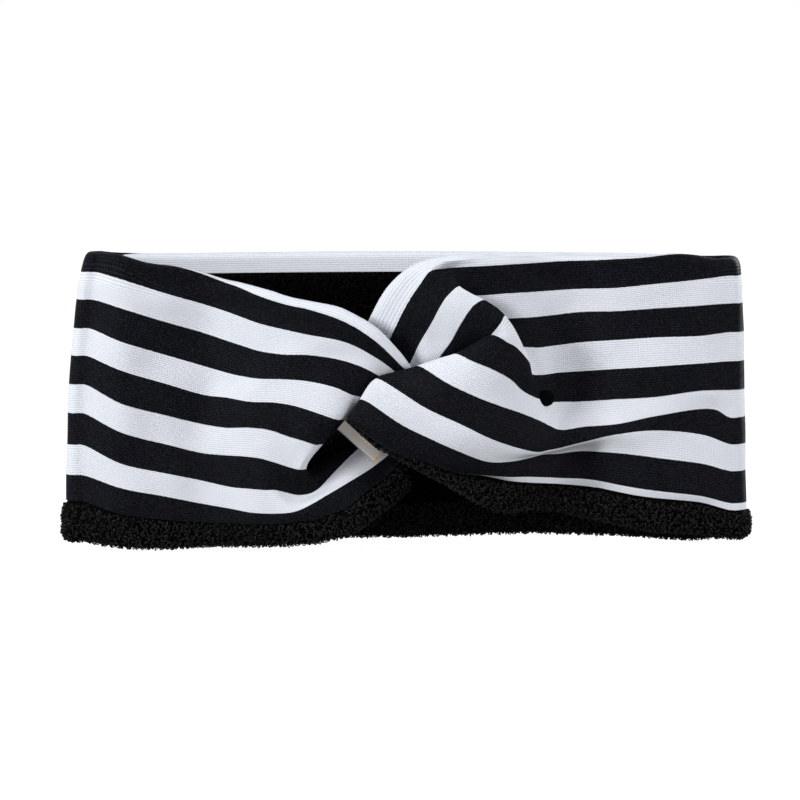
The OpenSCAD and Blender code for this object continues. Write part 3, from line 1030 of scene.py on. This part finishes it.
def label_loop():
    """The folded satin loop: down the front, round the fold and back up behind."""
    middle, along, down, out = label_frame()
    drop = np.linspace(LABEL_START, LABEL_DROP - LABEL_HALF_GAP, 12)
    turn = np.linspace(math.pi / 2, -math.pi / 2, 9)[1:-1]
    fold = LABEL_DROP - LABEL_HALF_GAP + LABEL_HALF_GAP * np.cos(turn)
    d = np.concatenate([drop, fold, drop[::-1]])
    flat = np.full_like(drop, LABEL_HALF_GAP)
    h = np.concatenate([flat, LABEL_HALF_GAP * np.sin(turn), -flat])
    puff = LABEL_PUFF * np.sin(np.clip((d - LABEL_START) / LABEL_DROP, 0, 1) ** 2.4 * math.pi)
    e = np.linspace(-LABEL_LENGTH / 2, LABEL_LENGTH / 2, 40)
    sway = 0.15 * np.sin(e / LABEL_LENGTH * 5) + LABEL_CURL * np.maximum(e + 5, 0) ** 2
    fuller = 0.9 + 1.3 * e / LABEL_LENGTH
    offset = (h[:, None] + (np.sign(h) * puff)[:, None] * fuller
              + sway[None, :] * (d / LABEL_DROP)[:, None])
    grid = middle + e[None, :, None] * along + d[:, None, None] * down + offset[:, :, None] * out
    piece = sheet_from_grid("label_loop", grid, d / LABEL_DROP, LABEL_CLOTH, 1)
    layer = piece.data.uv_layers["cloth"].data
    values = np.empty(len(layer) * 2, dtype=np.float32)
    layer.foreach_get("uv", values)
    values[0::2] /= LABEL_LENGTH
    layer.foreach_set("uv", values)
    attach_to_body(dress(piece, satin), "label_flap")
    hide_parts("label")


def label_thread():
    middle, along, _, out = label_frame()
    e = np.linspace(-LABEL_LENGTH / 2 - 0.8, LABEL_LENGTH / 2 + 0.8, 40)
    path = middle + e[:, None] * along + out * 0.2
    piece = stitches("label_thread", path, np.tile(out, (40, 1)), 1.5, 0.6, 0.38)
    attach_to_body(dress(piece, thread), "front")
    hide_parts("label_stitching")


label_loop()
label_thread()

STUD_RADIUS = 2.85
STUD_HEIGHT = 1.3
STUD_FACES_OUT = 1.2
STUD_LIFT = 0.9
STUD_SHIFT = (-1.0, 0, 1.2)


def stud(grid):
    """The small domed black stud, seated on the right arm where the CAD stud is."""
    low, high = node_box("tack_stud")
    middle = (low + high) / 2 + np.array(STUD_SHIFT)
    distance = np.hypot(grid[:, :, 0] - middle[0], grid[:, :, 2] - middle[2])
    row, column = np.unravel_index(np.argmin(distance), distance.shape)
    up = unit(normals_of(grid)[row, column] + np.array([0, -STUD_FACES_OUT, 0]))
    across = unit(np.cross(up, [0, 0, 1.0]))
    other = np.cross(up, across)
    u, v = np.meshgrid(np.linspace(-1, 1, 25), np.linspace(-1, 1, 25))
    x, y = u * np.sqrt(1 - v**2 / 2), v * np.sqrt(1 - u**2 / 2)
    radius = np.hypot(x, y)
    z = STUD_HEIGHT * np.sqrt(np.clip(1 - radius**2 * 0.97, 0, 1)) + STUD_LIFT
    dome = grid[row, column] + STUD_RADIUS * (x[..., None] * across + y[..., None] * other)
    dome = dome + z[..., None] * up
    piece = sheet_from_grid("tack_stud_dome", dome, np.linspace(0, 1, 25), 0.4, 1)
    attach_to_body(dress(piece, matte_black), "front")
    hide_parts("tack_stud")


stud(arm_grids["right"])

# ---------------------------------------------------------------- stage, light and camera

AIM = np.array([-2.3, 0.0, 52.2])
DISTANCE = 1700.0
ELEVATION = math.radians(4.5)
PICTURE_WIDTH = 278.4


def link(name, data):
    thing = bpy.data.objects.new(name, data)
    bpy.context.collection.objects.link(thing)
    return thing


def place_camera():
    data = bpy.data.cameras.new("camera")
    camera = link("camera", data)
    bpy.context.scene.camera = camera
    eye = AIM + DISTANCE * np.array([0, -math.cos(ELEVATION), math.sin(ELEVATION)])
    camera.location = (eye * MM).tolist()
    camera.rotation_euler = (math.pi / 2 - ELEVATION, 0, 0)
    data.sensor_width = 36
    data.lens = 36 * DISTANCE / PICTURE_WIDTH


FLOOR_HALF = 30.0


def lay_floor():
    """A pale floor, as white as the photograph's surroundings, that doesn't light the cloth."""
    mesh = bpy.data.meshes.new("floor")
    h = FLOOR_HALF
    mesh.from_pydata([(-h, -h, 0), (h, -h, 0), (h, h, 0), (-h, h, 0)], [], [(0, 1, 2, 3)])
    floor = link("floor", mesh)
    floor.location.z = 0.0003
    floor.visible_diffuse = False
    floor.visible_glossy = False
    n = Nodes("floor", 0.9, 0.0)
    n.shader.inputs["Base Color"].default_value = (0.16, 0.16, 0.16, 1)
    n.shader.inputs["Emission Color"].default_value = (1, 1, 1, 1)
    n.shader.inputs["Emission Strength"].default_value = 0.96
    mesh.materials.append(n.material)


def light_world():
    """White at the horizon and dim elsewhere, so that the soft lamps shape the cloth."""
    world = bpy.data.worlds.new("studio")
    bpy.context.scene.world = world
    world.use_nodes = True
    tree = world.node_tree
    background = tree.nodes["Background"]
    background.inputs["Color"].default_value = (1, 1, 1, 1)
    place = tree.nodes.new("ShaderNodeTexCoord")
    split = tree.nodes.new("ShaderNodeSeparateXYZ")
    ramp = tree.nodes.new("ShaderNodeMapRange")
    ramp.interpolation_type = "SMOOTHSTEP"
    ramp.inputs["From Min"].default_value = math.sin(math.radians(2.5))
    ramp.inputs["From Max"].default_value = math.sin(math.radians(9))
    ramp.inputs["To Min"].default_value = 1.0
    ramp.inputs["To Max"].default_value = 0.38
    tree.links.new(place.outputs["Generated"], split.inputs[0])
    height = tree.nodes.new("ShaderNodeMath")
    height.operation = "ABSOLUTE"
    tree.links.new(split.outputs["Z"], height.inputs[0])
    tree.links.new(height.outputs[0], ramp.inputs["Value"])
    tree.links.new(ramp.outputs["Result"], background.inputs["Strength"])
    bpy.context.scene.view_settings.view_transform = "Standard"


def soft_light(name, place, size, power):
    """A square softbox that faces the headband."""
    data = bpy.data.lights.new(name, "AREA")
    data.shape = "SQUARE"
    data.size = size
    data.energy = power
    lamp = link(name, data)
    lamp.location = place
    towards = Vector((0, 0, 0.05)) - Vector(place)
    lamp.rotation_euler = towards.to_track_quat("-Z", "Y").to_euler()


place_camera()
lay_floor()
light_world()
soft_light("key", (-1.5, -0.9, 0.7), 0.45, 33.5)
soft_light("fill", (1.55, -0.8, 0.6), 0.6, 20)
soft_light("top", (0.0, -0.1, 1.7), 0.6, 4)
soft_light("behind", (1.0, 1.6, 0.6), 0.8, 14)
